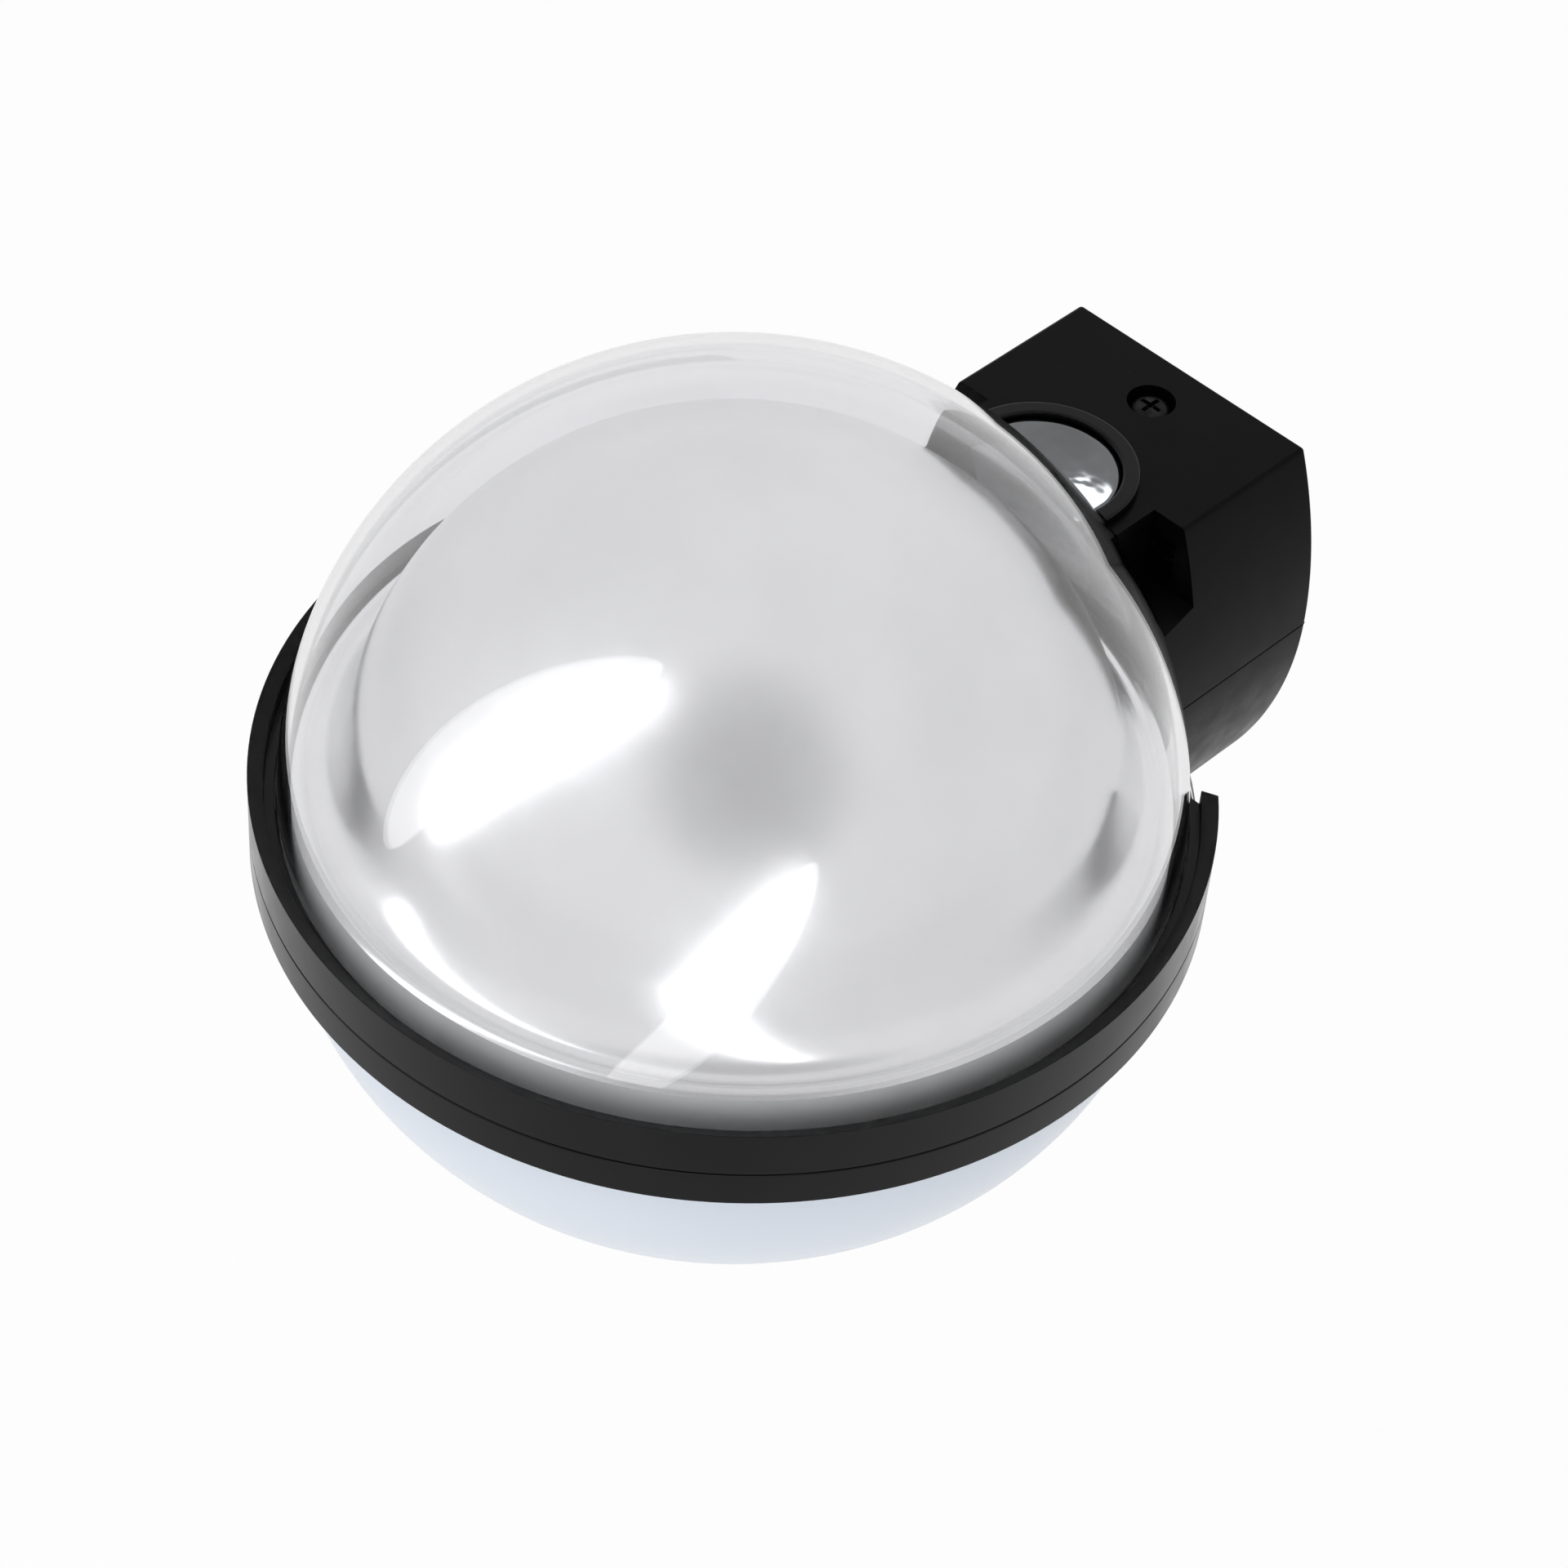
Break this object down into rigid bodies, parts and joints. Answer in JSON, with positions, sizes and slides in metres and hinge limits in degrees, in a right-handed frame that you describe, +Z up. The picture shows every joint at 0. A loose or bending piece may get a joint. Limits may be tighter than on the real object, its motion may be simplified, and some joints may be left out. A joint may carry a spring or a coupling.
{
  "type": "horn strobe",
  "caption": "Wall-mounted horn strobe: clear and silver domes over a translucent bowl, black clamp band, barrel bracket with a chromed push pad.",
  "frame": {"origin": "on the wall face of the wall plate, on the symmetry plane, level with the middle of the band round the globe", "axes": "+Y into the wall, -Y out to the globe, +Z up, +X to the right seen from the front of the globe"},
  "size_m": [0.2, 0.239, 0.1882],
  "materials": {
    "clear_plastic": "clear, polished",
    "silvered_plastic": "vacuum metallised, bright",
    "opal_plastic": "translucent, satin",
    "black_plastic": "gloss",
    "light_plastic": "moulded, matt",
    "chrome": "bright plated",
    "black_rubber": "matt",
    "board": "green solder mask",
    "zinc": "zinc plated",
    "black_steel": "black oxide",
    "glass": "clear tube",
    "ceramic": "matt",
    "copper": "enamelled copper",
    "ferrite": "sintered, matt",
    "capacitor_sleeve": "shrink sleeve",
    "green_plastic": "moulded",
    "grey_plastic": "moulded",
    "red_lead": "insulation"
  },
  "bodies": {
    "base": {"wall_plate": "black_plastic", "cable_grommet": "black_rubber", "bracket_housing": "black_plastic", "hinge_pin": "zinc", "lock_screw": "black_steel", "chassis_screw_1": "zinc", "chassis_screw_2": "zinc", "pad_bezel": "black_plastic", "test_spring": "zinc", "switch_board": "board", "test_switch": "grey_plastic", "port_mesh_left": "black_steel", "port_mesh_right": "black_steel", "horn_baffle": "grey_plastic", "baffle_screw_1": "zinc", "baffle_screw_2": "zinc", "horn_frame": "zinc", "horn_magnet": "ferrite", "control_board": "board", "board_screw_1": "zinc", "board_screw_2": "zinc", "terminal_block": "green_plastic", "terminal_screw_1": "zinc", "terminal_screw_2": "zinc", "terminal_screw_3": "zinc", "terminal_screw_4": "zinc", "candela_switch": "grey_plastic", "volume_base": "grey_plastic", "wire_harness": "red_lead", "chassis": "light_plastic", "dome_gasket": "black_rubber", "bowl_gasket": "black_rubber", "upper_dome": "clear_plastic", "reflector_cover": "silvered_plastic", "upper_band": "black_plastic", "lower_band": "black_plastic", "lower_bowl": "opal_plastic", "strobe_reflector": "silvered_plastic", "reflector_screw": "zinc", "flash_tube": "glass", "tube_post_1": "ceramic", "tube_post_2": "ceramic", "tube_lead_1": "copper", "tube_lead_2": "copper", "strobe_board": "board", "strobe_screw_1": "zinc", "strobe_screw_2": "zinc", "strobe_screw_3": "zinc", "strobe_screw_4": "zinc", "storage_capacitor": "capacitor_sleeve", "trigger_coil": "ferrite", "power_inductor": "copper"},
    "button": {"test_button": "chrome"},
    "cover": {"terminal_cover": "black_plastic"},
    "slider": {"candela_slider": "red_lead"},
    "dial": {"volume_dial": "light_plastic"},
    "diaphragm": {"horn_diaphragm": "ceramic", "voice_coil": "copper"}
  },
  "joints": [
    {"name": "button_press", "type": "slide", "parent": "base", "child": "button", "axis": [0, 0, -1], "range_m": [0, 0.002], "stiffness_N_per_m": 700, "springref_m": -0.001, "deforming": ["test_spring"]},
    {"name": "cover_open", "type": "hinge", "parent": "base", "child": "cover", "pos_m": [-0.0436, 0, -0.0075], "axis": [0, 1, 0], "range_deg": [0, 100]},
    {"name": "candela_select", "type": "slide", "parent": "base", "child": "slider", "axis": [1, 0, 0], "range_m": [0, 0.006]},
    {"name": "volume_turn", "type": "hinge", "parent": "base", "child": "dial", "pos_m": [0.0163, -0.0103, -0.0135], "axis": [0, -1, 0], "range_deg": [0, 270]},
    {"name": "diaphragm_flex", "type": "slide", "parent": "base", "child": "diaphragm", "axis": [0, -1, 0], "range_m": [-0.0004, 0.0004], "stiffness_N_per_m": 2000}
  ]
}
